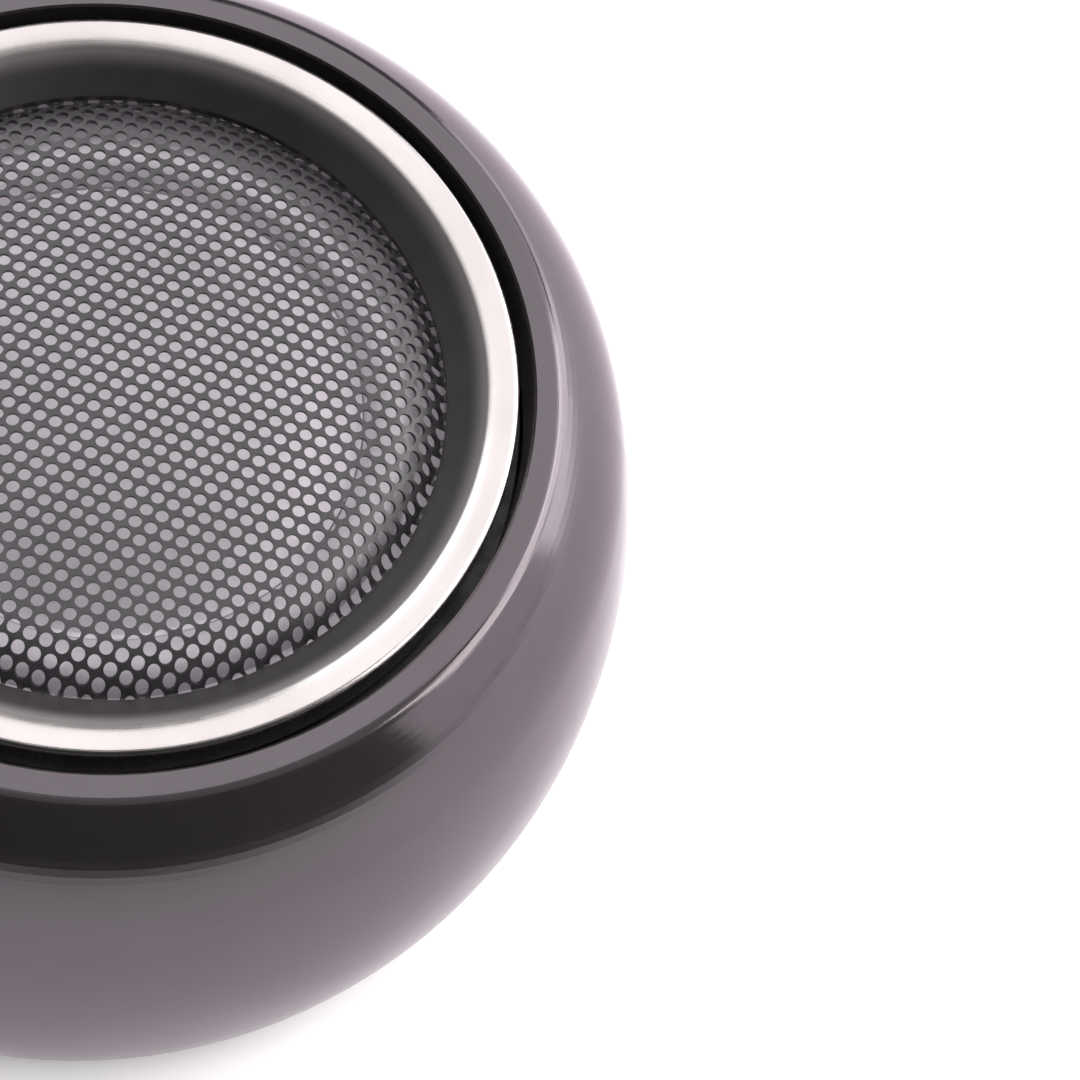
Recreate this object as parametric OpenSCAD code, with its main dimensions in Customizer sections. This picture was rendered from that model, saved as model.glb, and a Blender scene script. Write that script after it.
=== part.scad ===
// Surface-mount dome tweeter in a rounded pod.
// Millimetres. The origin is the centre of the resting face, +Z is the axis of symmetry and points
// out of the grille. The capsule is sized outwards from the voice coil, the pod is sized outwards from
// the capsule, and the capsule hangs down from the crown of the trim ring.

/* [Pod] */
// Height from the resting face to the crown of the trim ring
pod_h = 30.5; // [29:0.5:40]
// How far the widest line of the pod stands outside the lip
overhang = 7.1; // [5.5:0.1:9]
// Width of the flat lip round the opening
lip_w = 1.78; // [1.2:0.02:3]
// How far the lip lies below the crown of the trim ring
lip_drop = 0.05; // [0:0.05:0.6]
// Radius of the rounded edge between the lip and the shoulder
lip_round = 1.3; // [0.6:0.1:2]
// Slope of the shoulder where it leaves the lip, in degrees
shoulder_slope = 39; // [32:1:46]
// Lean of the flank from upright where it meets the shoulder, in degrees
flank_lean = 19; // [14:1:22]
// Radius of the flank, from the shoulder to the widest line
flank_r = 47.5; // [38:0.5:58]
// How far the foot of the pod stands inside its widest line
foot_inset = 0.97; // [0.6:0.01:2.5]
// Wall thickness of the pod
pod_wall = 2.2; // [1.8:0.1:2.6]
// Shadow gap between the trim ring and the pod
ring_gap = 0.77; // [0.4:0.01:1.2]
// Thickness of the ledge that carries the capsule
ledge_t = 2.4; // [1.6:0.1:3]

/* [Trim ring and grille] */
// Width of the trim ring, from its outer edge to the edge of the grille opening
ring_w = 3.45; // [3.1:0.05:4.2]
// Height of the trim ring above its seat
ring_h = 2.75; // [2.6:0.05:3.4]
// Depth of the grille opening's edge below the crown
funnel_depth = 2.35; // [1.8:0.05:2.5]
// Radius of the shallow crown of the ring
crown_r = 2.65; // [2:0.05:4]
// Thickness of the grille sheet
grille_t = 0.3; // [0.2:0.05:0.5]
// Radius of the grille's wide middle curve
grille_crown_r = 180; // [100:5:300]
// Width of the drawn rim of the grille
grille_rim_w = 3; // [2.4:0.1:3.6]
// Slope of the grille at its flange, in degrees
grille_rim_slope = 58; // [45:1:62]

/* [Driver] */
// Outer diameter of the voice coil former
coil_d = 25.2; // [20:0.1:32]
// Height of the dome above its edge
dome_h = 3.4; // [2.6:0.1:3.6]
// Width of the half-roll surround
roll_w = 3; // [2.4:0.1:3.6]
// Width of the surround's clamped flange
flange_w = 1.7; // [1.4:0.1:2.4]
// Height of the winding
winding_h = 2.6; // [2:0.1:3.2]
// Thickness of the pole plate
plate_t = 2.5; // [2:0.1:3]
// Thickness of the magnet
magnet_t = 4; // [3:0.1:5]
// Wall and floor thickness of the yoke
yoke_wall = 2.2; // [1.8:0.1:3]
// Thickness of the driver frame
frame_t = 1.4; // [1.2:0.1:2]

/* [Base] */
// Thickness of the foam pad under the base
pad_t = 1; // [0.6:0.1:2]
// Diameter of the foam pad
pad_d = 40; // [34:1:42]
// Thickness of the base plate
base_t = 2.2; // [1.8:0.1:3]
// Distance between the two mounting holes
mount_spacing = 28; // [26:0.5:34]
// Diameter of the mounting holes
mount_hole_d = 3.6; // [3:0.1:4.2]
// Diameter of the cable inlet through the grommet
inlet_d = 4; // [3:0.1:5]
// Diameter of the capacitor can
cap_d = 6.4; // [5:0.1:6.6]
// Length of the capacitor can
cap_len = 12; // [9:0.5:14]

/* [Hidden] */
$fn = 96;

// Clearances
slip = 0.1;             // between pieces that drop into each other
coil_air = 0.3;         // either side of the winding and the former
bond = 0.05;            // glue line
film_t = 0.2;           // surround film
dome_t = 0.25;
former_t = 0.2;
winding_t = 0.7;
gasket_t = 0.5;
neck_air = 0.25;         // between the neck of the capsule and the ledge of the pod
motor_air = 0.4;         // round the yoke
base_air = 0.25;         // round the base plate

// Walls and margins
film_margin = 0.8;       // from the surround's flange to the bore of the cup
neck_wall = 0.9;
ring_reach = 0.25;       // how far the trim ring overlaps the neck
cup_wall = 2.2;
wire_inset = 0.6;
post_inset = 0.5;        // from the posts to the edge of the base plate
grommet_wall = 1.4;
grommet_lip = 1.2;

// Capsule radii, outwards from the voice coil
coil_r = coil_d / 2;
skirt_r = coil_r + dome_t;
roll_in_r = skirt_r + bond;
roll_out_r = roll_in_r + roll_w;
film_r = roll_out_r + flange_w;
bore_r = film_r + film_margin;
spigot_w = 0.7;
rebate_r = bore_r + spigot_w + 2 * bond;
neck_r = rebate_r + neck_wall;
ring_r = neck_r + ring_reach;
hole_r = ring_r - ring_w;
pole_r = coil_r - former_t - coil_air + bond;
winding_r = coil_r + winding_t;
yoke_in_r = winding_r + coil_air;
yoke_r = yoke_in_r + yoke_wall;
well_r = yoke_r + motor_air;
cup_r = well_r + cup_wall;
skirt_h = 0.9;

// Pod radii, outwards from the capsule
opening_r = ring_r + ring_gap;
cup_flange_r = opening_r - slip;
body_r = neck_r - slip;
ledge_r = body_r + neck_air;
lip_r = opening_r + lip_w;
pod_r = lip_r + overhang;

// Levels, downwards from the crown of the trim ring
lip_z = pod_h - lip_drop;
seat_z = pod_h - ring_h;
spigot_h = 1.1;
flange_top_z = seat_z - spigot_h - bond;
flange_t = 1.1;
ledge_z = flange_top_z - flange_t - gasket_t;
ledge_under_z = ledge_z - ledge_t;
spacer_h = 2.25;
film_z = seat_z - grille_t - spacer_h - film_t;
frame_z = film_z - frame_t;
yoke_z = frame_z - plate_t - magnet_t - yoke_wall;
motor_pad_t = 0.6;
floor_t = 1.6;
floor_z = yoke_z - motor_pad_t;
cup_z = floor_z - floor_t;

// Pod outline: the shoulder arc is whatever radius reaches from the lip to the flank, and the side
// below the widest line is whatever radius reaches the foot
shoulder_a = 90 - shoulder_slope;
shoulder_r = (overhang - flank_r * (1 - cos(flank_lean))) / (cos(flank_lean) - cos(shoulder_a));
lip_round_c = [lip_r - lip_round * cos(shoulder_a), lip_z - lip_round];
shoulder_c = lip_round_c + (lip_round - shoulder_r) * [cos(shoulder_a), sin(shoulder_a)];
flank_c = shoulder_c + (shoulder_r - flank_r) * [cos(flank_lean), sin(flank_lean)];
rim_z = 0.3;
tuck_h = flank_c[1] - rim_z;
tuck_r = (pow(tuck_h, 2) + pow(foot_inset, 2)) / (2 * foot_inset);
tuck_c = [pod_r - tuck_r, flank_c[1]];
rim_edge = 0.8;
lip_edge = 0.12;

// Base
base_top_z = pad_t + base_t;
base_r = tuck_c[0] + sqrt(pow(tuck_r - pod_wall, 2) - pow(tuck_c[1] - pad_t, 2)) - base_air;
post_r = 2.6;
post_ring_r = base_r - post_r - post_inset;
pilot_r = 1.25;
screw_r = 1.2;
screw_head_r = 2.2;
screw_len = 10;
post_angles = [90, 210, 330];
grommet_y = 13;
grommet_groove_r = inlet_d / 2 + grommet_wall;
grommet_flange_r = grommet_groove_r + grommet_lip;
grommet_flange_t = 0.8;

// Terminals and capacitor
board_size = [22, 8, 1.2];
tab_t = 0.5;
tab_x = 5;
wire_r = tab_t / 2;
sleeve_r = 0.55;
wire_x = well_r + wire_inset;
cap_y = -12;
clip_t = 0.5;
cap_z = base_top_z + clip_t + cap_d / 2;
cap_lead_len = 1.8;

// Points along an arc about c, from angle a0 to a1 in n steps
function arc(c, r, a0, a1, n = 16) =
    [for (i = [0:n]) let (a = a0 + (a1 - a0) * i / n) c + r * [cos(a), sin(a)]];

// Outer line of the pod moved inwards by inset, from the lip down to height z
function pod_line(inset, z) =
    let (end = -asin((tuck_c[1] - z) / (tuck_r - inset)))
    concat(
        inset < lip_round ? arc(lip_round_c, lip_round - inset, 90, shoulder_a, 8) : [],
        arc(shoulder_c, shoulder_r - inset, shoulder_a, flank_lean, 18),
        arc(flank_c, flank_r - inset, flank_lean, 0, 24),
        arc(tuck_c, tuck_r - inset, 0, end, 18)
    );

// Straight round rod from a to b
module rod(a, b, r) {
    d = b - a;
    translate(a)
        rotate([0, acos(d[2] / norm(d)), atan2(d[1], d[0])])
            cylinder(r = r, h = norm(d));
}

// Bent wire through a list of points, with round elbows
module wire(points, r) {
    for (i = [0:len(points) - 2])
        rod(points[i], points[i + 1], r);
    for (i = [1:1:len(points) - 2])
        translate(points[i])
            sphere(r = r);
}

// Flat ring between two radii and two heights
module washer(r_in, r_out, z, h) {
    translate([0, 0, z])
        difference() {
            cylinder(r = r_out, h = h);
            translate([0, 0, -1])
                cylinder(r = r_in, h = h + 2);
        }
}

module at_posts() {
    for (a = post_angles)
        rotate(a)
            translate([post_ring_r, 0, 0])
                children();
}

module pod_shell() {
    rotate_extrude()
        polygon(concat(
            [[opening_r, ledge_z], [opening_r, lip_z - lip_edge], [opening_r + lip_edge, lip_z]],
            pod_line(0, rim_z + rim_edge),
            [[pod_line(0, rim_z)[len(pod_line(0, rim_z)) - 1][0] - rim_edge, rim_z]],
            [[base_r + base_air, rim_z]],
            [for (i = [len(pod_line(pod_wall, pad_t)) - 1:-1:0])
                if (pod_line(pod_wall, pad_t)[i][1] < ledge_under_z) pod_line(pod_wall, pad_t)[i]],
            [[ledge_r + 3, ledge_under_z], [ledge_r, ledge_under_z], [ledge_r, ledge_z]]
        ));
}

module pod_housing() {
    color("#4b494e")
        difference() {
            union() {
                pod_shell();
                at_posts()
                    translate([0, 0, base_top_z])
                        cylinder(r = post_r, h = ledge_under_z - base_top_z + 0.5);
            }
            at_posts()
                translate([0, 0, base_top_z - 1])
                    cylinder(r = pilot_r, h = screw_len + 1);
        }
}

module capsule_gasket() {
    color("#1c1c1e")
        washer(ledge_r, cup_flange_r, ledge_z, gasket_t);
}

module capsule_cup() {
    hook_z = ledge_under_z - slip;
    color("#161618")
        difference() {
            union() {
                rotate_extrude()
                    polygon([
                        [0, cup_z], [cup_r - 0.6, cup_z], [cup_r, cup_z + 0.6],
                        [cup_r, hook_z - 4], [body_r, hook_z - 2.6], [body_r, ledge_z + gasket_t],
                        [cup_flange_r, ledge_z + gasket_t], [cup_flange_r, flange_top_z],
                        [neck_r, flange_top_z], [neck_r, seat_z], [rebate_r, seat_z],
                        [rebate_r, flange_top_z], [bore_r, flange_top_z], [bore_r, frame_z],
                        [well_r, frame_z], [well_r, floor_z], [0, floor_z]
                    ]);
                snap_hooks(hook_z);
            }
            for (side = [-1, 1]) {
                translate([side * wire_x, 0, (cup_z + frame_z) / 2])
                    cube([2 * wire_x - 2 * well_r + 0.4, 1.6, frame_z - cup_z + 2], center = true);
                translate([side * tab_x, 0, cup_z - 1])
                    cylinder(r = 1, h = floor_t + 2);
            }
        }
}

// Three sprung hooks on the capsule that catch under the ledge of the pod
module snap_hooks(z) {
    intersection() {
        rotate_extrude()
            polygon([[body_r - 1, z], [ledge_r + 0.6, z], [ledge_r + 0.6, z - 0.5], [body_r - 1, z - 2.4]]);
        for (a = post_angles)
            rotate(a + 60)
                translate([body_r, 0, z - 1.5])
                    cube([8, 6, 5], center = true);
    }
}

module trim_ring() {
    edge_r = 0.37;
    crown_c = [ring_r - edge_r, pod_h - crown_r];
    crown_turn = 25;
    brow_r = 0.6;
    crown_end = crown_c + crown_r * [cos(90 + crown_turn), sin(90 + crown_turn)];
    brow_c = crown_end - brow_r * [cos(90 + crown_turn), sin(90 + crown_turn)];
    spigot_r = bore_r + bond;
    color("#c9c5c4")
        rotate_extrude()
            polygon(concat(
                [[ring_r, seat_z]],
                arc([ring_r - edge_r, pod_h - edge_r], edge_r, 0, 90, 8),
                arc(crown_c, crown_r, 90, 90 + crown_turn, 14),
                arc(brow_c, brow_r, 90 + crown_turn, 137, 8),
                [[hole_r, pod_h - funnel_depth], [hole_r, seat_z], [spigot_r, seat_z]],
                [[spigot_r, seat_z - spigot_h], [spigot_r + spigot_w, seat_z - spigot_h]],
                [[spigot_r + spigot_w, seat_z]]
            ));
}

// Grille: flat flange under the trim ring, drawn rim, wide shallow middle
module grille() {
    knee_r = hole_r - 0.2;
    mid_r = knee_r - grille_rim_w;
    mid_slope = asin(mid_r / grille_crown_r);
    rim_r = grille_rim_w / (sin(grille_rim_slope) - sin(mid_slope));
    rim_c = [mid_r - rim_r * sin(mid_slope), seat_z - rim_r * cos(grille_rim_slope)];
    crown_c = [0, rim_c[1] + rim_r * cos(mid_slope) - grille_crown_r * cos(mid_slope)];
    knee_run = grille_t * tan(grille_rim_slope / 2);
    color("#5c5a60")
        rotate_extrude()
            polygon(concat(
                [[bore_r - slip, seat_z - grille_t], [bore_r - slip, seat_z]],
                arc(rim_c, rim_r, 90 - grille_rim_slope, 90 - mid_slope, 10),
                arc(crown_c, grille_crown_r, 90 - mid_slope, 90, 16),
                arc(crown_c, grille_crown_r - grille_t, 90, 90 - mid_slope, 16),
                arc(rim_c, rim_r - grille_t, 90 - mid_slope, 90 - grille_rim_slope, 10),
                [[knee_r - knee_run, seat_z - grille_t]]
            ));
}

module grille_spacer() {
    color("#202022")
        washer(film_r - 0.4, bore_r - slip, film_z + film_t, spacer_h);
}

module surround() {
    roll_r = roll_w / 2;
    roll_c = [roll_in_r + roll_r, film_z];
    root_a = asin(film_t / roll_r);
    color("#b9b4b8")
        rotate_extrude()
            polygon(concat(
                [[film_r, film_z], [film_r, film_z + film_t]],
                arc(roll_c, roll_r, root_a, 180, 24),
                arc(roll_c, roll_r - film_t, 180, root_a, 24),
                [[roll_out_r - film_t, film_z]]
            ));
}

module dome_diaphragm() {
    dome_r = (coil_r * coil_r + dome_h * dome_h) / (2 * dome_h);
    dome_c = [0, film_z + film_t + dome_h - dome_r];
    dome_a = 90 - asin(coil_r / dome_r);
    color("#c4bfc4")
        rotate_extrude()
            polygon(concat(
                arc(dome_c, dome_r, 90, dome_a, 24),
                [[skirt_r, film_z + film_t], [skirt_r, film_z + film_t - skirt_h]],
                [[coil_r + 0.02, film_z + film_t - skirt_h], [coil_r + 0.02, film_z + film_t - dome_t]],
                arc(dome_c, dome_r - dome_t, dome_a, 90, 24)
            ));
}

module voice_coil_former() {
    color("#a8793c")
        washer(coil_r - former_t, coil_r, frame_z - plate_t / 2 - winding_h / 2 - 0.3,
            film_z + film_t - dome_t - frame_z + plate_t / 2 + winding_h / 2 + 0.3);
}

module voice_coil() {
    color("#b5622d")
        washer(coil_r, winding_r, frame_z - plate_t / 2 - winding_h / 2, winding_h);
}

module driver_frame() {
    frame_in_r = winding_r + 0.9;
    color("#1e1e20")
        difference() {
            washer(frame_in_r, bore_r - slip, frame_z, frame_t);
            for (side = [-1, 1]) {
                translate([side * (frame_in_r + wire_x) / 2, 0, film_z - 0.5])
                    cube([wire_x - frame_in_r + 2, 1.2, 1.02], center = true);
                translate([side * wire_x, 0, frame_z - 1])
                    cylinder(r = sleeve_r + slip, h = frame_t + 2);
            }
        }
}

module damping_pad() {
    color("#8d8a86")
        translate([0, 0, frame_z])
            cylinder(r = pole_r * 0.72, h = 1.2);
}

module pole_plate() {
    color("#8a8d91")
        translate([0, 0, frame_z - plate_t])
            cylinder(r = pole_r, h = plate_t);
}

module magnet() {
    color("#b4b6ba")
        translate([0, 0, frame_z - plate_t - magnet_t])
            cylinder(r = pole_r - 0.6, h = magnet_t);
}

module yoke_cup() {
    chamfer = 0.5;
    color("#6f7276")
        rotate_extrude()
            polygon([
                [0, yoke_z], [yoke_r - chamfer, yoke_z], [yoke_r, yoke_z + chamfer],
                [yoke_r, frame_z], [yoke_in_r, frame_z], [yoke_in_r, yoke_z + yoke_wall],
                [0, yoke_z + yoke_wall]
            ]);
}

module motor_pad() {
    color("#2b2b2d")
        washer(yoke_r * 0.55, yoke_r - 0.8, floor_z, motor_pad_t);
}

// Leads from the coil gap, out through the frame and down the wall of the cup to the terminals
module lead_wires() {
    lead_z = film_z - 0.5;
    tab_z = cup_z - board_size[2] - tab_t / 2;
    tab_end = tab_x + 4;
    color("#a02a22")
        for (side = [-1, 1])
            wire([
                [side * (winding_r + 1.1), 0, lead_z], [side * wire_x, 0, lead_z],
                [side * wire_x, 0, tab_z], [side * (tab_end + 0.05), 0, tab_z]
            ], wire_r);
}

module terminal_board() {
    color("#7a4f2a")
        difference() {
            translate([0, 0, cup_z - board_size[2] / 2])
                cube(board_size, center = true);
            for (side = [-1, 1])
                translate([side * tab_x, 0, cup_z - board_size[2] - 1])
                    cylinder(r = 1, h = board_size[2] + 2);
        }
}

// Flat terminal: a blade that ends at the lead, with a hole for its rivet
module terminal(side, blade_w) {
    color("#c9a94e")
        difference() {
            translate([side * tab_x, -1, cup_z - board_size[2] - tab_t / 2])
                cube([8, blade_w, tab_t], center = true);
            translate([side * tab_x, 0, cup_z - board_size[2] - 2])
                cylinder(r = 1, h = 4);
        }
}

module positive_terminal() {
    terminal(1, 4.8);
}

module negative_terminal() {
    terminal(-1, 3.4);
}

module terminal_rivets() {
    stack = floor_t + board_size[2] + tab_t;
    color("#d2c27a")
        for (side = [-1, 1])
            translate([side * tab_x, 0, floor_z - stack]) {
                cylinder(r = 1 - 0.02, h = stack);
                translate([0, 0, stack])
                    cylinder(r = 1.6, h = 0.4);
                translate([0, 0, -0.4])
                    cylinder(r = 1.6, h = 0.4);
            }
}

module capacitor() {
    rim = 0.5;
    color("#23406e")
        translate([0, cap_y, cap_z])
            rotate([0, 90, 0])
                rotate_extrude()
                    polygon([
                        [0, -cap_len / 2], [cap_d / 2 - rim, -cap_len / 2], [cap_d / 2, rim - cap_len / 2],
                        [cap_d / 2, cap_len / 2 - rim], [cap_d / 2 - rim, cap_len / 2], [0, cap_len / 2]
                    ]);
}

module capacitor_leads() {
    color("#c0c2c6")
        for (side = [-1, 1])
            rod([side * cap_len / 2, cap_y, cap_z], [side * (cap_len / 2 + cap_lead_len), cap_y, cap_z], wire_r);
}

// Spring clip: two arms that hold the can down on the base
module capacitor_clip() {
    clip_w = 5;
    r = cap_d / 2 + slip / 2;
    color("#9a9da1")
        difference() {
            union() {
                translate([-clip_w / 2, cap_y, cap_z])
                    rotate([0, 90, 0])
                        cylinder(r = r + clip_t, h = clip_w);
                translate([-clip_w / 2, cap_y - r - clip_t, base_top_z])
                    cube([clip_w, 2 * r + 2 * clip_t, clip_t]);
            }
            translate([-clip_w / 2 - 1, cap_y, cap_z])
                rotate([0, 90, 0])
                    cylinder(r = r, h = clip_w + 2);
            translate([-clip_w / 2 - 1, cap_y - r * 0.7, cap_z])
                cube([clip_w + 2, 2 * r * 0.7, r + 2]);
            translate([-clip_w / 2 - 1, cap_y - 2 * r, base_top_z - 5])
                cube([clip_w + 2, 4 * r, 5]);
        }
}

// Sleeved wire from the capacitor to the positive terminal
module jumper_wire() {
    wire_end_x = cap_len / 2 + cap_lead_len + sleeve_r;
    tab_z = cup_z - board_size[2] - tab_t - sleeve_r;
    color("#b3251e")
        wire([[wire_end_x, cap_y, cap_z], [wire_end_x, cap_y, tab_z], [wire_end_x, -2.5, tab_z]], sleeve_r);
}

module mounting_base() {
    countersink_r = mount_hole_d / 2 + 1.6;
    color("#2a2a2c")
        difference() {
            translate([0, 0, pad_t])
                cylinder(r = base_r, h = base_t);
            at_posts() {
                translate([0, 0, pad_t - 1])
                    cylinder(r = screw_r + 0.15, h = base_t + 2);
                translate([0, 0, pad_t - 0.01])
                    cylinder(r1 = screw_head_r + 0.15, r2 = screw_r + 0.15, h = 1.2);
            }
            for (side = [-1, 1])
                translate([side * mount_spacing / 2, 0, pad_t]) {
                    translate([0, 0, -1])
                        cylinder(d = mount_hole_d, h = base_t + 2);
                    translate([0, 0, base_t - 1])
                        cylinder(r1 = mount_hole_d / 2, r2 = countersink_r, h = 1.01);
                }
            translate([0, grommet_y, pad_t - 1])
                cylinder(r = grommet_groove_r + bond, h = base_t + 2);
        }
}

// Countersunk cross-head screws that hold the base to the posts of the pod
module base_screws() {
    color("#3a3b3e")
        at_posts()
            difference() {
                union() {
                    translate([0, 0, pad_t + 0.1])
                        cylinder(r1 = screw_head_r, r2 = screw_r, h = 1.1);
                    translate([0, 0, pad_t + 1])
                        cylinder(r = screw_r, h = screw_len - 0.5);
                }
                for (turn = [0, 90])
                    rotate(turn)
                        translate([0, 0, pad_t])
                            cube([2.4, 0.5, 1.4], center = true);
            }
}

module cable_grommet() {
    color("#151516")
        translate([0, grommet_y, 0])
            rotate_extrude()
                polygon([
                    [inlet_d / 2, pad_t - grommet_flange_t], [grommet_flange_r, pad_t - grommet_flange_t],
                    [grommet_flange_r, pad_t], [grommet_groove_r, pad_t], [grommet_groove_r, base_top_z],
                    [grommet_flange_r, base_top_z], [grommet_flange_r, base_top_z + grommet_flange_t],
                    [inlet_d / 2, base_top_z + grommet_flange_t]
                ]);
}

module foam_pad() {
    color("#3c3c3f")
        difference() {
            cylinder(d = pad_d, h = pad_t);
            for (side = [-1, 1])
                translate([side * mount_spacing / 2, 0, -1])
                    cylinder(d = mount_hole_d + 1.4, h = pad_t + 2);
            translate([0, grommet_y, -1])
                cylinder(r = grommet_flange_r + 0.4, h = pad_t + 2);
        }
}

pod_housing();
capsule_gasket();
capsule_cup();
trim_ring();
grille();
grille_spacer();
surround();
dome_diaphragm();
voice_coil_former();
voice_coil();
driver_frame();
damping_pad();
pole_plate();
magnet();
yoke_cup();
motor_pad();
lead_wires();
terminal_board();
positive_terminal();
negative_terminal();
terminal_rivets();
capacitor();
capacitor_leads();
capacitor_clip();
jumper_wire();
mounting_base();
base_screws();
cable_grommet();
foam_pad();
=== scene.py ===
"""Looks of the surface-mount dome tweeter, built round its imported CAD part.

Everything is in the part's frame. Lengths named in capitals are millimetres unless a comment says
otherwise, and are scaled to metres on use. Texture scales are per metre. Lights are in metres and
watts.
"""

import math

import bmesh
import bpy
import numpy as np
from mathutils import Matrix, Vector

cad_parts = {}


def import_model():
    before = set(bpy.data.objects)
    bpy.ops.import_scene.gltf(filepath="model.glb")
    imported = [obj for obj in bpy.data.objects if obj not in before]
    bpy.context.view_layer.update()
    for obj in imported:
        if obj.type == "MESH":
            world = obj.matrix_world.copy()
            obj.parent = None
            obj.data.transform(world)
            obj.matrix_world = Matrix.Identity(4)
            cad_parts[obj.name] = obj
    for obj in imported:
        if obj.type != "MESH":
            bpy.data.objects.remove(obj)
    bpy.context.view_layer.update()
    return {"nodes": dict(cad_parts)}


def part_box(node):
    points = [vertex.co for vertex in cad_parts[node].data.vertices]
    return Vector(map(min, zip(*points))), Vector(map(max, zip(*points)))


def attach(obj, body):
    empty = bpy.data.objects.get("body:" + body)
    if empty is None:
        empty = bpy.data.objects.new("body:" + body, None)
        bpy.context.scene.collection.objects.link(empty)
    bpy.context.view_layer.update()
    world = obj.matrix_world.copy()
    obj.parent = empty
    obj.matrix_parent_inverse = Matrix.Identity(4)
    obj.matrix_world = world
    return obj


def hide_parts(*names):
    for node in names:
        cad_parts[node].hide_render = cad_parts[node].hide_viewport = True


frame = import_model()
nodes = frame["nodes"]

MM = 0.001
SEGMENTS = 360

# Levels and radii read off the CAD nodes
ring_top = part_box("trim_ring")[1] / MM
grille_lo, grille_hi = [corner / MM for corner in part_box("grille")]
CROWN_Z = ring_top.z
FLANGE_R = grille_hi.x
SHEET_T = 0.3
SEAT_Z = grille_lo.z + SHEET_T

# Form of the perforated sheet
HOLE_EDGE_R = 16.9
KNEE_INSET = 0.2
KNEE_R = HOLE_EDGE_R - KNEE_INSET
RIM_W = 3.0
RIM_SLOPE = math.radians(58)
SHEET_CROWN_R = 180.0
FLANGE_LAP = 0.15
FLANGE_CLEARANCE = 0.01

# Its holes: a skewed lattice, set by one hole and the steps to two of its neighbours
LATTICE_ORIGIN = np.array([1.477, -1.653])
LATTICE_U = np.array([0.773, -0.300])
LATTICE_V = np.array([-0.506, -0.6455])
LATTICE_REACH = 0.5  # shorter than any step, so that the lattice overruns the sheet
PUNCH_R = 0.33
PUNCHED_T = 0.2
CELL_LIMIT_R = 17.5
POINTS_PER_SIDE = 3
MERGE_STEP = 0.004

# The trim ring's funnel is black lacquer inside FUNNEL_R; over the band beyond it the metal fades to
# the lacquer, a painted shade of the ring's curved inner edge
FUNNEL_R = 17.75
FUNNEL_PAINTED_SHADE_W = 1.2
FUNNEL_PAINTED_SHADE_POWER = 2.4
FUNNEL_ROUGHNESS = 0.26

# Textures
TURNING_SCALE = 9000.0
WEAVE_SCALE = 21000.0
ROUGHNESS_TO_TONE = 2.3  # how much finer a plain finish's roughness varies than its tone
MIDDLE = (0.3, 0.7)  # where most of a noise lies

# Studio
FLOOR_HALF = 1.6  # metres
FLOOR_CELLS = 8
FLOOR_Z = -0.2
FLOOR_GLOW = 0.16
WORLD_GLOW = 0.03
CANOPY_ANGLE = math.radians(66)

# Camera fitted to the edges of the ring, the gap and the grille, and to the pod's outline
CAMERA_AT = Vector((0.0, -51.327, 106.080 + CROWN_Z))
CAMERA_AIM = Vector((24.544, -0.324, CROWN_Z))
CAMERA_ROLL = math.radians(27.067)
CAMERA_LENS = 77.10
CAMERA_SENSOR = 36
CAMERA_SHIFT = (-0.0556, -0.1296)  # shares of the frame
CAMERA_CLIP = (0.005, 10)  # metres


# ---------------------------------------------------------------- meshes

def make_object(name, verts, faces, sharp):
    """Object from vertices in millimetres; edges bent by more than sharp degrees stay crisp."""
    mesh = bpy.data.meshes.new(name)
    mesh.from_pydata([tuple(v * MM for v in p) for p in verts], [], faces)
    mesh.validate()
    shell = bmesh.new()
    shell.from_mesh(mesh)
    bmesh.ops.recalc_face_normals(shell, faces=shell.faces)
    shell.to_mesh(mesh)
    shell.free()
    obj = bpy.data.objects.new(name, mesh)
    bpy.context.scene.collection.objects.link(obj)
    mesh.shade_smooth()
    mesh.set_sharp_from_angle(angle=math.radians(sharp))
    return obj


def revolve(name, outline, sharp=30):
    """Closed outline of (radius, height) pairs turned round the Z axis."""
    line = np.array(outline, float)
    turn = np.linspace(0, 2 * math.pi, SEGMENTS, endpoint=False)
    verts = np.stack([
        np.outer(np.cos(turn), line[:, 0]),
        np.outer(np.sin(turn), line[:, 0]),
        np.outer(np.ones(SEGMENTS), line[:, 1]),
    ], axis=-1).reshape(-1, 3)
    count = len(line)
    faces = []
    for s in range(SEGMENTS):
        a, b = s * count, ((s + 1) % SEGMENTS) * count
        for i in range(count):
            j = (i + 1) % count
            faces.append((a + i, b + i, b + j, a + j))
    return make_object(name, verts, faces, sharp=sharp)


def join(target, other):
    """Merge the other object into the target."""
    bpy.ops.object.select_all(action="DESELECT")
    target.select_set(True)
    other.select_set(True)
    bpy.context.view_layer.objects.active = target
    bpy.ops.object.join()


def sheet_profile(r):
    """Height of the top of the perforated sheet and the outward slope of its normal at radius r."""
    r = np.asarray(r, float)
    mid_r = KNEE_R - RIM_W
    mid_slope = math.asin(mid_r / SHEET_CROWN_R)
    rim_r = RIM_W / (math.sin(RIM_SLOPE) - math.sin(mid_slope))
    rim_c = (mid_r - rim_r * math.sin(mid_slope), SEAT_Z - rim_r * math.cos(RIM_SLOPE))
    crown_z = rim_c[1] + rim_r * math.cos(mid_slope) - SHEET_CROWN_R * math.cos(mid_slope)
    middle = crown_z + np.sqrt(SHEET_CROWN_R ** 2 - np.minimum(r, mid_r) ** 2)
    run = np.clip(r, mid_r, KNEE_R) - rim_c[0]
    rim = rim_c[1] + np.sqrt(rim_r ** 2 - run ** 2)
    z = np.where(r < mid_r, middle, np.where(r < KNEE_R, rim, SEAT_Z))
    lean = np.where(r < mid_r, r / SHEET_CROWN_R, np.where(r < KNEE_R, run / rim_r, 0.0))
    return z, lean


def circumcentre(a, b):
    """Centre of the circle through the origin, a and b."""
    d = 2 * (a[0] * b[1] - a[1] * b[0])
    return np.array([
        b[1] * (a @ a) - a[1] * (b @ b),
        a[0] * (b @ b) - b[0] * (a @ a),
    ]) / d


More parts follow.
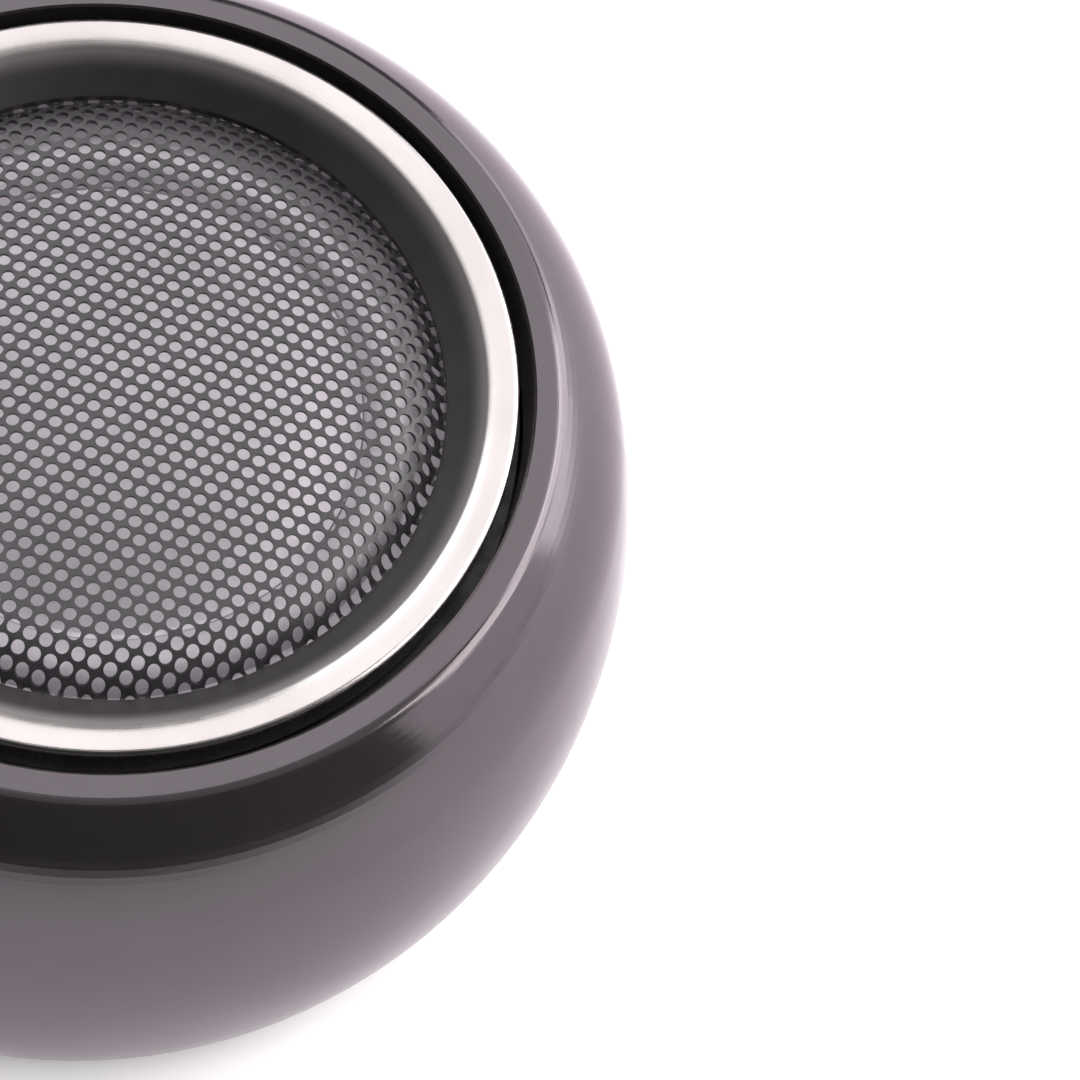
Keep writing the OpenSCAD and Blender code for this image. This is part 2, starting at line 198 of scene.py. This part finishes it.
def perforated_sheet():
    """Every punched cell of the grille, a hexagon of the lattice with a round hole, and the flange."""
    u, v = LATTICE_U, LATTICE_V
    neighbours = [u, u + v, v, -u, -u - v, -v]
    corners = [circumcentre(neighbours[i], neighbours[(i + 1) % 6]) for i in range(6)]
    hexagon = np.array([
        corners[i] + (corners[(i + 1) % 6] - corners[i]) * k / POINTS_PER_SIDE
        for i in range(6) for k in range(POINTS_PER_SIDE)
    ])
    ways = hexagon / np.linalg.norm(hexagon, axis=1)[:, None]
    span = int(CELL_LIMIT_R / LATTICE_REACH) + 4
    centres = np.array([
        LATTICE_ORIGIN + i * u + j * v for i in range(-span, span) for j in range(-span, span)
    ])
    centres = centres[np.hypot(centres[:, 0], centres[:, 1]) < CELL_LIMIT_R]

    # Four loops: edge of the cell on top, edge of the hole on top, the same two below
    loops = [hexagon, ways * PUNCH_R, ways * PUNCH_R, hexagon]
    depths = [0.0, 0.0, PUNCHED_T, PUNCHED_T]
    plan = np.stack([centres[:, None, :] + loop[None] for loop in loops], axis=1)
    r = np.hypot(plan[..., 0], plan[..., 1])
    top, lean = sheet_profile(r)
    depth = np.array(depths)[None, :, None]
    outward = plan / np.maximum(r, 1e-6)[..., None]
    xy = plan - outward * (depth * lean)[..., None]
    z = top - depth * np.sqrt(1 - lean ** 2)
    verts = np.concatenate([xy, z[..., None]], axis=-1).reshape(-1, 3)

    n = len(hexagon)
    cell = []
    for loop in range(len(loops) - 1):
        for k in range(n):
            a, b = loop * n + k, loop * n + (k + 1) % n
            cell.append((a, b, b + n, a + n))
    below = (len(loops) - 1) * n
    border = np.array([(k, (k + 1) % n, (k + 1) % n + below, k + below) for k in range(n)])
    starts = (np.arange(len(centres)) * len(loops) * n)[:, None, None]
    faces = (np.array(cell)[None] + starts).reshape(-1, 4)
    walls = (border[None] + starts).reshape(-1, 4)

    # Cells share the points on their borders
    keys = np.round(verts / MERGE_STEP).astype(np.int64)
    _, first, inverse = np.unique(keys, axis=0, return_index=True, return_inverse=True)
    inverse = inverse.reshape(-1)
    verts = verts[first]
    faces = inverse[faces]

    # A wall closes each border that no other cell shares
    walls = inverse[walls]
    edges = np.sort(walls[:, :2], axis=1)
    _, which, count = np.unique(edges, axis=0, return_inverse=True, return_counts=True)
    faces = np.concatenate([faces, walls[count[which.reshape(-1)] == 1]])
    sheet = make_object("grille_sheet", verts, faces.tolist(), sharp=40)

    inner = HOLE_EDGE_R + FLANGE_LAP
    bottom = SEAT_Z - SHEET_T + FLANGE_CLEARANCE
    top = SEAT_Z - FLANGE_CLEARANCE
    flange = revolve("grille_flange", [
        (inner, bottom), (FLANGE_R, bottom), (FLANGE_R, top), (inner, top),
    ])
    join(sheet, flange)
    return sheet


# ---------------------------------------------------------------- materials

class Finish:
    """A node material built round one Principled shader."""

    def __init__(self, name, **values):
        self.name = name
        self.mat = bpy.data.materials.new(name)
        self.mat.use_nodes = True
        self.tree = self.mat.node_tree
        self.shader = self.tree.nodes["Principled BSDF"]
        for key, value in values.items():
            self.shader.inputs[key.replace("_", " ")].default_value = value
        coord = self.tree.nodes.new("ShaderNodeTexCoord")
        self.place = coord.outputs["Object"]

    def node(self, kind, **values):
        n = self.tree.nodes.new("ShaderNode" + kind)
        for key, value in values.items():
            if key in n.inputs:
                n.inputs[key].default_value = value
            else:
                setattr(n, key, value)
        return n

    def link(self, a, b):
        self.tree.links.new(a, b)

    def noise(self, scale, detail=4.0, rough=0.55, stretch=None):
        n = self.node("TexNoise", Scale=scale, Detail=detail, Roughness=rough)
        source = self.place
        if stretch:
            m = self.node("Mapping")
            m.inputs["Scale"].default_value = stretch
            self.link(source, m.inputs["Vector"])
            source = m.outputs["Vector"]
        self.link(source, n.inputs["Vector"])
        return n.outputs["Fac"]

    def axes(self):
        """The X, Y and Z of the place on the object."""
        n = self.node("SeparateXYZ")
        self.link(self.place, n.inputs[0])
        return n.outputs

    def span(self, source, lo, hi, at=(0.0, 1.0)):
        """Map the range at of the source to lo and hi, held at its ends."""
        n = self.node("MapRange")
        n.inputs["From Min"].default_value, n.inputs["From Max"].default_value = at
        n.inputs["To Min"].default_value, n.inputs["To Max"].default_value = lo, hi
        self.link(source, n.inputs["Value"])
        return n.outputs["Result"]

    def ramp(self, source, low, high):
        """Colour between two stops, each a position and a colour."""
        n = self.node("ValToRGB")
        stops = n.color_ramp.elements
        stops[0].position, stops[0].color = low[0], (*low[1], 1)
        stops[1].position, stops[1].color = high[0], (*high[1], 1)
        self.link(source, n.inputs["Fac"])
        return n.outputs["Color"]

    def maths(self, operation, *operands):
        n = self.node("Math", operation=operation)
        for socket, value in zip(n.inputs, operands):
            if isinstance(value, (int, float)):
                socket.default_value = value
            else:
                self.link(value, socket)
        return n.outputs["Value"]

    def times(self, a, b):
        return self.maths("MULTIPLY", a, b)

    def colour(self, out):
        self.link(out, self.shader.inputs["Base Color"])

    def rough(self, out):
        self.link(out, self.shader.inputs["Roughness"])

    def bump(self, out, height):
        """Relief of a height in millimetres, on top of any relief before it."""
        n = self.node("Bump", Strength=1.0, Distance=height * MM)
        self.link(out, n.inputs["Height"])
        if self.shader.inputs["Normal"].links:
            self.link(self.shader.inputs["Normal"].links[0].from_socket, n.inputs["Normal"])
        self.link(n.outputs["Normal"], self.shader.inputs["Normal"])

    def on(self, obj):
        obj.data.materials.clear()
        obj.data.materials.append(self.mat)


def pod_coat():
    """Glossy, mostly metallic dark lacquer with a fine grain and a slightly uneven surface."""
    f = Finish("pod_coat", Metallic=0.8, Specular_Tint=(0.72, 0.65, 0.71, 1))
    tone = f.noise(90, 5)
    grain = f.noise(5200, 2)
    f.colour(f.ramp(
        f.maths("ADD", tone, f.times(grain, 0.25)),
        (0.35, (0.077, 0.069, 0.075)), (0.85, (0.090, 0.081, 0.088)),
    ))
    f.rough(f.span(f.times(f.noise(260, 6), f.noise(38, 3)), 0.12, 0.2, (0.1, 0.45)))
    f.bump(f.noise(3400, 3, 0.6), 0.0016)
    f.bump(f.noise(420, 2), 0.0012)
    return f


def ring_metal():
    """Satin plated metal with turning marks round the axis and black lacquer in the funnel; the
    gradual blend between them is painted shade of the ring's curved inner edge.
    """
    f = Finish("ring_metal")
    x, y, _ = f.axes()
    r = f.maths("POWER", f.maths("ADD", f.times(x, x), f.times(y, y)), 0.5)
    turned = f.node("TexNoise", Scale=1.0, Detail=3.0, noise_dimensions="1D")
    f.link(f.times(r, TURNING_SCALE), turned.inputs["W"])
    # Painted shade: colour, metallic and roughness fade from metal to black lacquer over this band,
    # standing in for the shading of the ring's curved inner edge
    painted_shade_fade = f.span(r, 0.0, 1.0, (FUNNEL_R * MM, (FUNNEL_R + FUNNEL_PAINTED_SHADE_W) * MM))
    metal_share_and_painted_shade = f.maths("POWER", painted_shade_fade, FUNNEL_PAINTED_SHADE_POWER)
    metal = f.ramp(
        f.noise(150, 4), (0.3, (0.40, 0.375, 0.370)), (0.75, (0.46, 0.435, 0.43)),
    )
    lacquer = f.ramp(
        f.noise(420, 5), (0.3, (0.0125, 0.0108, 0.0112)), (0.75, (0.020, 0.0172, 0.0178)),
    )
    # The colour sockets of a Mix node come after its float and vector ones
    mix = f.node("Mix", data_type="RGBA")
    f.link(metal_share_and_painted_shade, mix.inputs["Factor"])
    f.link(lacquer, mix.inputs[6])
    f.link(metal, mix.inputs[7])
    f.colour(mix.outputs[2])
    f.link(metal_share_and_painted_shade, f.shader.inputs["Metallic"])
    grain = f.span(f.times(turned.outputs["Fac"], f.noise(900, 3)), 0.22, 0.32, (0.1, 0.45))
    f.rough(f.maths("ADD", grain, f.span(metal_share_and_painted_shade, FUNNEL_ROUGHNESS, 0.0)))
    f.bump(turned.outputs["Fac"], 0.0003)
    f.bump(f.noise(1500, 3), 0.0008)
    return f


def grille_paint():
    """Near-black paint with a fine grain."""
    f = Finish("grille_paint", Metallic=0.0)
    f.colour(f.ramp(
        f.times(f.noise(350, 5), f.noise(6000, 2)),
        (0.12, (0.012, 0.0112, 0.013)), (0.42, (0.030, 0.0275, 0.031)),
    ))
    f.rough(f.span(f.noise(1800, 4), 0.38, 0.52, MIDDLE))
    f.bump(f.noise(5200, 2), 0.0022)
    return f


def diaphragm_film():
    """Coated woven film of the dome and its roll."""
    f = Finish("diaphragm_film", Metallic=0.25, Coat_Weight=0.15, Coat_Roughness=0.25)
    x, y, _ = f.axes()
    warp = f.maths("SINE", f.times(x, WEAVE_SCALE))
    weft = f.maths("SINE", f.times(y, WEAVE_SCALE))
    weave = f.times(warp, weft)
    f.colour(f.ramp(
        f.noise(300, 5), (0.3, (0.76, 0.72, 0.77)), (0.75, (0.82, 0.78, 0.83)),
    ))
    f.rough(f.span(f.noise(700, 3), 0.46, 0.56, MIDDLE))
    f.bump(weave, 0.0015)
    return f


def plain(name, dark, light, rough, metal=0.0, scale=400, bump=0.002, fine=2600, stretch=None):
    """Mottled finish: two tones, uneven roughness and a fine relief."""
    f = Finish(name, Metallic=metal)
    f.colour(f.ramp(f.noise(scale, 5, 0.6, stretch), (0.3, dark), (0.72, light)))
    f.rough(f.span(f.noise(scale * ROUGHNESS_TO_TONE, 4), rough[0], rough[1], MIDDLE))
    f.bump(f.noise(fine, 3, 0.6, stretch), bump)
    return f


# ---------------------------------------------------------------- build

sheet = perforated_sheet()
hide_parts("grille")
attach(sheet, "tweeter")
made = {"grille": sheet}

finishes = [
    pod_coat(),
    ring_metal(),
    grille_paint(),
    diaphragm_film(),
    plain("black_plastic", (0.012, 0.012, 0.013), (0.024, 0.024, 0.026), (0.35, 0.55)),
    plain("moulded_base", (0.018, 0.018, 0.019), (0.034, 0.034, 0.036), (0.45, 0.65),
          fine=3800, bump=0.01),
    plain("light_plastic", (0.50, 0.475, 0.505), (0.60, 0.57, 0.60), (0.4, 0.55)),
    plain("former_film", (0.30, 0.15, 0.045), (0.42, 0.23, 0.08), (0.25, 0.4)),
    plain("copper", (0.60, 0.23, 0.10), (0.74, 0.33, 0.17), (0.25, 0.4), metal=1.0,
          stretch=(0.2, 0.2, 9.0)),
    plain("felt", (0.16, 0.155, 0.15), (0.34, 0.33, 0.32), (0.85, 1.0), fine=5200, bump=0.05),
    plain("motor_steel", (0.30, 0.31, 0.32), (0.44, 0.45, 0.47), (0.28, 0.42), metal=1.0),
    plain("magnet_plating", (0.55, 0.56, 0.58), (0.68, 0.69, 0.71), (0.16, 0.28), metal=1.0),
    plain("foam", (0.014, 0.014, 0.015), (0.045, 0.045, 0.048), (0.85, 1.0),
          fine=2300, bump=0.12),
    plain("gasket_foam", (0.010, 0.010, 0.011), (0.026, 0.026, 0.028), (0.8, 1.0),
          fine=3000, bump=0.06),
    plain("grommet_rubber", (0.008, 0.008, 0.009), (0.018, 0.018, 0.020), (0.5, 0.7)),
    plain("wire_sleeve", (0.34, 0.020, 0.015), (0.46, 0.040, 0.028), (0.3, 0.45)),
    plain("tinned_wire", (0.58, 0.58, 0.60), (0.74, 0.74, 0.76), (0.2, 0.35), metal=1.0),
    plain("phenolic", (0.11, 0.045, 0.016), (0.20, 0.092, 0.036), (0.4, 0.55),
          stretch=(3.0, 0.4, 1.0)),
    plain("terminal_brass", (0.62, 0.47, 0.18), (0.78, 0.62, 0.28), (0.22, 0.36), metal=1.0),
    plain("capacitor_sleeve", (0.010, 0.035, 0.115), (0.018, 0.055, 0.165), (0.22, 0.35)),
    plain("spring_steel", (0.40, 0.41, 0.43), (0.56, 0.57, 0.60), (0.22, 0.36), metal=1.0,
          stretch=(6.0, 0.5, 0.5)),
    plain("black_screw", (0.022, 0.022, 0.025), (0.050, 0.050, 0.055), (0.3, 0.45), metal=0.8),
]
finish_named = {f.name: f for f in finishes}

wearing = {
    "pod_housing": "pod_coat",
    "capsule_gasket": "gasket_foam",
    "capsule_cup": "black_plastic",
    "trim_ring": "ring_metal",
    "grille": "grille_paint",
    "grille_spacer": "light_plastic",
    "surround": "diaphragm_film",
    "dome_diaphragm": "diaphragm_film",
    "voice_coil_former": "former_film",
    "voice_coil": "copper",
    "driver_frame": "black_plastic",
    "damping_pad": "felt",
    "pole_plate": "motor_steel",
    "magnet": "magnet_plating",
    "yoke_cup": "motor_steel",
    "motor_pad": "foam",
    "lead_wires": "wire_sleeve",
    "terminal_board": "phenolic",
    "positive_terminal": "terminal_brass",
    "negative_terminal": "terminal_brass",
    "terminal_rivets": "terminal_brass",
    "capacitor": "capacitor_sleeve",
    "capacitor_leads": "tinned_wire",
    "capacitor_clip": "spring_steel",
    "jumper_wire": "wire_sleeve",
    "mounting_base": "moulded_base",
    "base_screws": "black_screw",
    "cable_grommet": "grommet_rubber",
    "foam_pad": "foam",
}
for node_name, finish_name in wearing.items():
    finish_named[finish_name].on(made.get(node_name, nodes[node_name]))


# ---------------------------------------------------------------- studio

def floor():
    """White paper under the pod, just below its foot."""
    line = np.linspace(-FLOOR_HALF, FLOOR_HALF, FLOOR_CELLS + 1)
    row = len(line)
    verts = [(x, y, FLOOR_Z * MM) for y in line for x in line]
    faces = [
        (j * row + i, j * row + i + 1, (j + 1) * row + i + 1, (j + 1) * row + i)
        for j in range(FLOOR_CELLS) for i in range(FLOOR_CELLS)
    ]
    mesh = bpy.data.meshes.new("studio_floor")
    mesh.from_pydata(verts, [], faces)
    obj = bpy.data.objects.new("studio_floor", mesh)
    bpy.context.scene.collection.objects.link(obj)
    paper = plain("studio_paper", (0.90, 0.895, 0.90), (0.94, 0.935, 0.94), (0.7, 0.9),
                  scale=12, fine=60, bump=0.001)
    paper.shader.inputs["Emission Color"].default_value = (1.0, 0.985, 1.0, 1)
    paper.shader.inputs["Emission Strength"].default_value = FLOOR_GLOW
    paper.on(obj)


def softbox(name, at, size, power, colour):
    """Rectangular light turned towards the middle of the trim ring's top."""
    light = bpy.data.lights.new(name, "AREA")
    light.shape = "RECTANGLE"
    light.size, light.size_y = size
    light.energy = power
    light.color = colour
    obj = bpy.data.objects.new(name, light)
    obj.location = at
    obj.rotation_mode = "QUATERNION"
    target = Vector((0.0, 0.0, CROWN_Z * MM))
    obj.rotation_quaternion = (target - Vector(at)).to_track_quat("-Z", "Y")
    bpy.context.scene.collection.objects.link(obj)


def world():
    """Faint light from all round."""
    surroundings = bpy.data.worlds.new("studio")
    bpy.context.scene.world = surroundings
    surroundings.use_nodes = True
    background = surroundings.node_tree.nodes["Background"]
    background.inputs["Color"].default_value = (0.95, 0.96, 1.0, 1)
    background.inputs["Strength"].default_value = WORLD_GLOW


floor()
softbox("canopy", (-0.10, math.cos(CANOPY_ANGLE), math.sin(CANOPY_ANGLE)), (2.6, 1.2), 22,
        (1.0, 0.975, 0.985))
softbox("far_left", (-0.52, 0.80, 0.50), (0.50, 0.30), 5.0, (0.97, 0.98, 1.0))
softbox("canopy_edge", (0.0, -0.30, 1.0), (2.4, 0.5), 1.6, (1.0, 0.975, 0.985))
softbox("right_light", (0.85, 0.10, 0.66), (1.1, 0.50), 12, (1.0, 0.965, 0.955))
softbox("right_low", (1.0, 0.05, 0.27), (1.5, 0.5), 4.6, (1.0, 0.955, 0.975))
softbox("far_right", (0.97, 0.60, 0.22), (1.3, 0.45), 7.5, (0.99, 0.955, 1.0))
world()


# ---------------------------------------------------------------- camera

def camera():
    """Camera at its fitted place, rolled about its line of sight."""
    data = bpy.data.cameras.new("camera")
    obj = bpy.data.objects.new("camera", data)
    bpy.context.scene.collection.objects.link(obj)
    stand = CAMERA_AT * MM
    back = (stand - CAMERA_AIM * MM).normalized()
    level = Vector((0, 0, 1)).cross(back).normalized()
    right = level * math.cos(CAMERA_ROLL) + back.cross(level) * math.sin(CAMERA_ROLL)
    up = back.cross(right)
    obj.matrix_world = Matrix((
        (right.x, up.x, back.x, stand.x),
        (right.y, up.y, back.y, stand.y),
        (right.z, up.z, back.z, stand.z),
        (0, 0, 0, 1),
    ))
    data.sensor_width = CAMERA_SENSOR
    data.lens = CAMERA_LENS
    data.shift_x, data.shift_y = CAMERA_SHIFT
    data.clip_start, data.clip_end = CAMERA_CLIP
    bpy.context.scene.camera = obj


camera()
view = bpy.context.scene.view_settings
view.view_transform = "Standard"
view.look = "None"
view.exposure = 0.0
